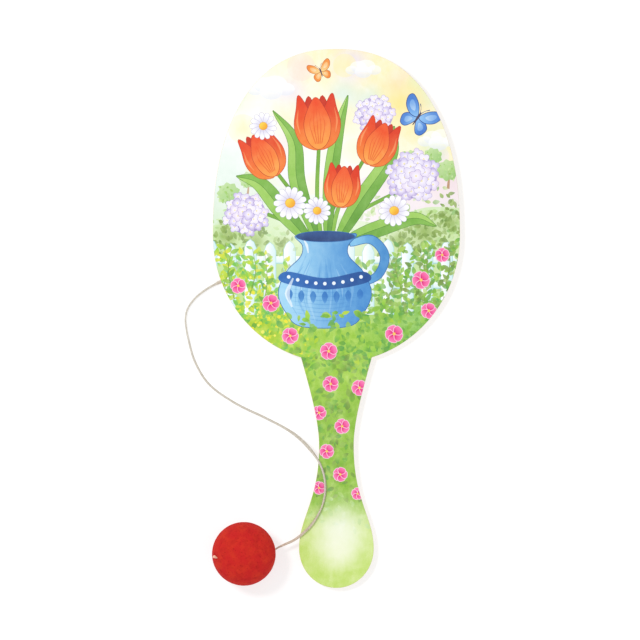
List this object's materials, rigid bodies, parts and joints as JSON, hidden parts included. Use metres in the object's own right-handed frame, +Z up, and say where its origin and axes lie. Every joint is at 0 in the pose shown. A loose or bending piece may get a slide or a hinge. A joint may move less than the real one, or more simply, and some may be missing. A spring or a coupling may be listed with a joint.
{
  "type": "paddle ball",
  "caption": "Flat wooden paddle ball bat with a printed front and a waisted handle, an elastic strand stapled to its back and a sponge rubber ball on the strand's knotted end.",
  "frame": {"origin": "on the table under the middle of the bat's length, on the bat's centre line", "axes": "+Y along the bat from the handle's end to the blade's top, +Z up out of the printed front"},
  "size_m": [0.1431, 0.28, 0.033],
  "materials": {
    "printed_front": "satin",
    "outer_ply": "matte",
    "core_ply": "matte",
    "staple_steel": "satin",
    "natural_rubber": "matte",
    "sponge_rubber": "matte"
  },
  "bodies": {
    "bat": {"print_sheet": "printed_front", "face_ply": "outer_ply", "core_ply": "core_ply", "back_ply": "outer_ply", "staple": "staple_steel", "elastic_pinched_end": "natural_rubber", "elastic_cord": "natural_rubber"},
    "elastic_end": {"elastic_in_ball": "natural_rubber", "elastic_knot": "natural_rubber"},
    "ball": {"ball": "sponge_rubber"}
  },
  "joints": [
    {"name": "ball_lift", "type": "slide", "parent": "bat", "child": "elastic_end", "axis": [0, 0, 1], "range_m": [0, 0.138]},
    {"name": "ball_spin", "type": "hinge", "parent": "elastic_end", "child": "ball", "pos_m": [-0.048, -0.122, 0.0165], "axis": [-0.8681, -0.1066, 0.4848], "continuous": true}
  ]
}
